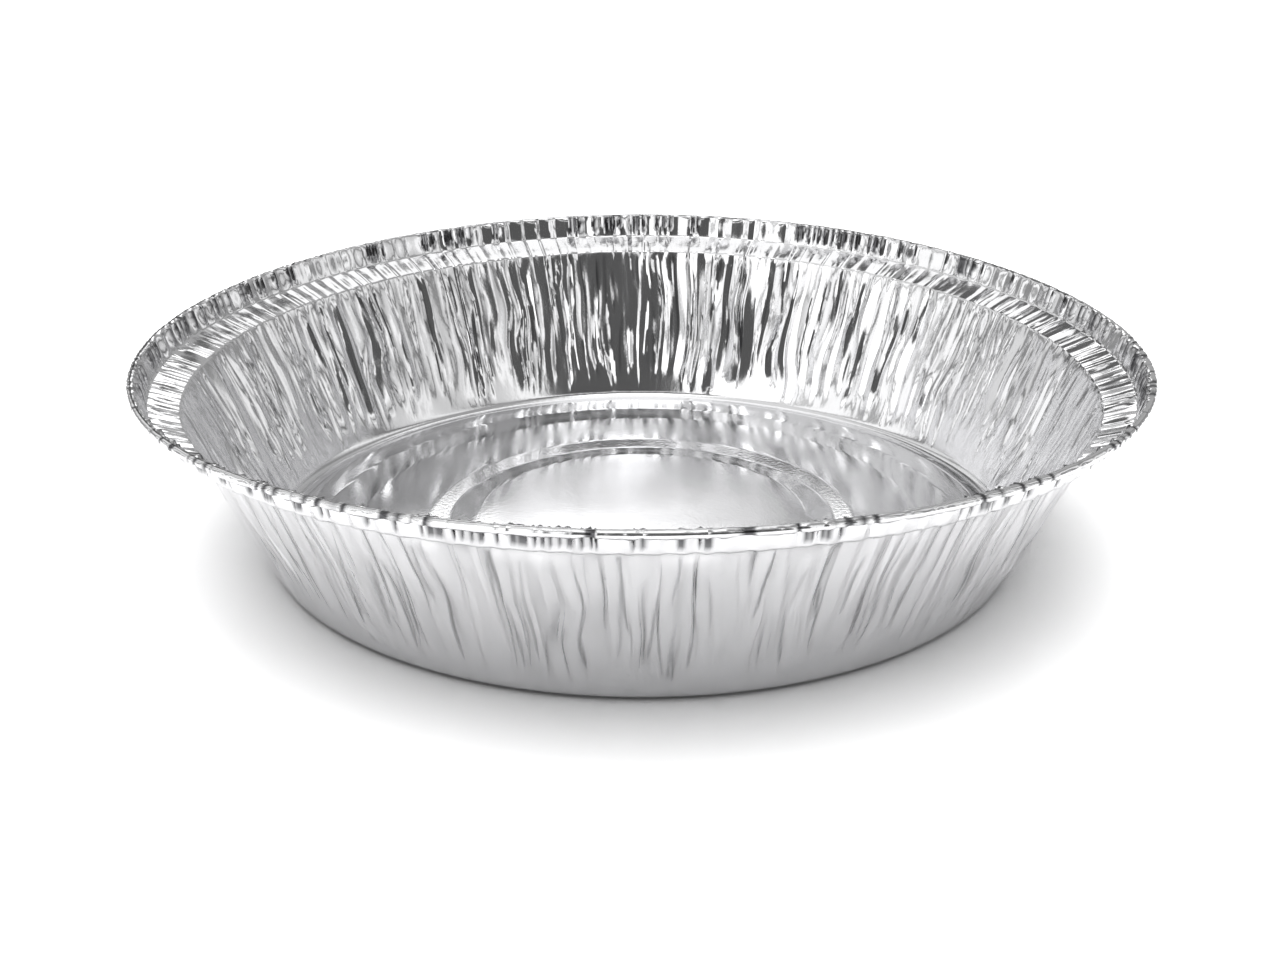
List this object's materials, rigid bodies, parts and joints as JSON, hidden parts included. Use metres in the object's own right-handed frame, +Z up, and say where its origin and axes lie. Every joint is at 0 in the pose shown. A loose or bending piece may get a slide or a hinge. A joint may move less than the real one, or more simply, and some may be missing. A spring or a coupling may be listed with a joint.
{
  "type": "foil pie tin",
  "caption": "Round, deep foil pie tin with a pleated flared wall, stamped floor grooves, flat flange, upright lip and rolled rim.",
  "frame": {"origin": "centre of the tin on the surface it stands on", "axes": "+Z up along the tin's axis, out of its mouth; the rim is sprung up a little at +Y and -Y and down at +X and -X"},
  "size_m": [0.23, 0.23, 0.0481],
  "materials": {
    "foil": "bright rolled foil, semi-gloss, with pressed pleats"
  },
  "bodies": {
    "root": {"foil_pie_tin": "foil"}
  },
  "joints": []
}
